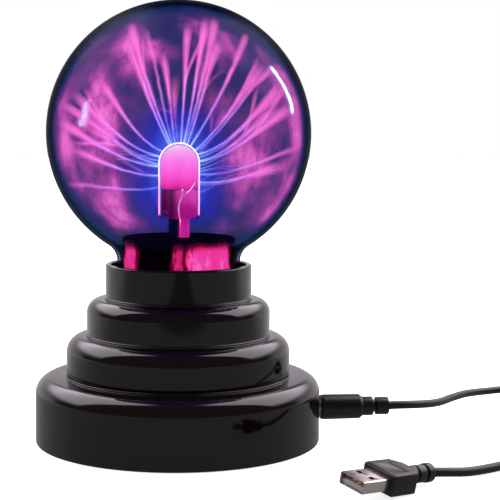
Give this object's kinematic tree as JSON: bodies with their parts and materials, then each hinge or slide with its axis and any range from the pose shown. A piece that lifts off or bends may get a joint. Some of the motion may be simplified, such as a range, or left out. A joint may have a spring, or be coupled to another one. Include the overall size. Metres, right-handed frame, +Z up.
{
  "type": "plasma ball",
  "caption": "Small plasma ball: a sealed glass globe with a glowing stem electrode on a stepped round gloss black base, with a USB power lead and barrel plug.",
  "frame": {"origin": "centre of the base's footprint, on the surface that the rubber feet stand on", "axes": "+Z up through the middle of the globe; the power jack faces +X and the slide switch faces +Y"},
  "size_m": [0.2803, 0.1892, 0.1804],
  "materials": {
    "base_plastic": "high gloss black moulding",
    "plate_plastic": "fine moulded texture",
    "foot_rubber": "matt",
    "screw_steel": "zinc plated",
    "globe_glass": "polished",
    "stem_glass": "polished",
    "electrode_wool": "fibrous",
    "rod_brass": "drawn",
    "sleeve_plastic": "satin",
    "gasket_foam": "matt",
    "silicone": "satin",
    "wire_red": "satin",
    "wire_black": "satin",
    "board_green": "solder mask",
    "ferrite": "sintered",
    "bobbin_nylon": "satin",
    "winding_copper": "enamelled wire",
    "chip_black": "moulded epoxy",
    "sink_aluminium": "extruded",
    "can_blue": "sleeved can",
    "film_red": "dipped",
    "resistor_tan": "lacquered",
    "jack_plastic": "satin",
    "plated_metal": "nickel plated",
    "plug_pvc": "satin PVC",
    "cord_pvc": "satin PVC",
    "strap_fabric": "hook and loop",
    "usb_steel": "satin nickel",
    "tongue_plastic": "satin",
    "contact_gold": "gold plated"
  },
  "bodies": {
    "root": {"base_housing": "base_plastic", "tier_tower": "base_plastic", "bottom_plate": "plate_plastic", "rubber_feet": "foot_rubber", "base_screws": "screw_steel", "tower_screws": "screw_steel", "glass_globe": "globe_glass", "stem_tube": "stem_glass", "exhaust_tip": "stem_glass", "electrode_wool": "electrode_wool", "contact_rod": "rod_brass", "stem_insulator": "sleeve_plastic", "neck_gasket": "gasket_foam", "globe_adhesive": "silicone", "hv_lead": "wire_red", "circuit_board": "board_green", "board_screws": "screw_steel", "flyback_core": "ferrite", "flyback_bobbin": "bobbin_nylon", "flyback_secondary": "winding_copper", "flyback_primary": "winding_copper", "driver_transistor": "chip_black", "heat_sink": "sink_aluminium", "transistor_screw": "screw_steel", "input_capacitor": "can_blue", "film_capacitors": "film_red", "resistors": "resistor_tan", "timer_chip": "chip_black", "dc_jack_body": "jack_plastic", "dc_jack_pin": "plated_metal", "switch_body": "jack_plastic", "wire_red": "wire_red", "wire_black": "wire_black"},
    "switch": {"switch_knob": "jack_plastic"},
    "lead": {"dc_plug_barrel": "plated_metal", "dc_plug_insulator": "jack_plastic", "dc_plug_body": "plug_pvc", "dc_plug_relief": "plug_pvc", "cord_run_out": "cord_pvc", "cord_coil": "cord_pvc", "cord_tie": "strap_fabric", "cord_run_back": "cord_pvc", "usb_plug_body": "plug_pvc", "usb_plug_relief": "plug_pvc", "usb_plug_shell": "usb_steel", "usb_plug_tongue": "tongue_plastic", "usb_contacts": "contact_gold"}
  },
  "joints": [
    {"name": "plug_pull", "type": "slide", "parent": "root", "child": "lead", "axis": [1, 0, 0], "range_m": [0, 0.011]},
    {"name": "switch_slide", "type": "slide", "parent": "root", "child": "switch", "axis": [1, 0, 0], "range_m": [-0.003, 0]}
  ]
}
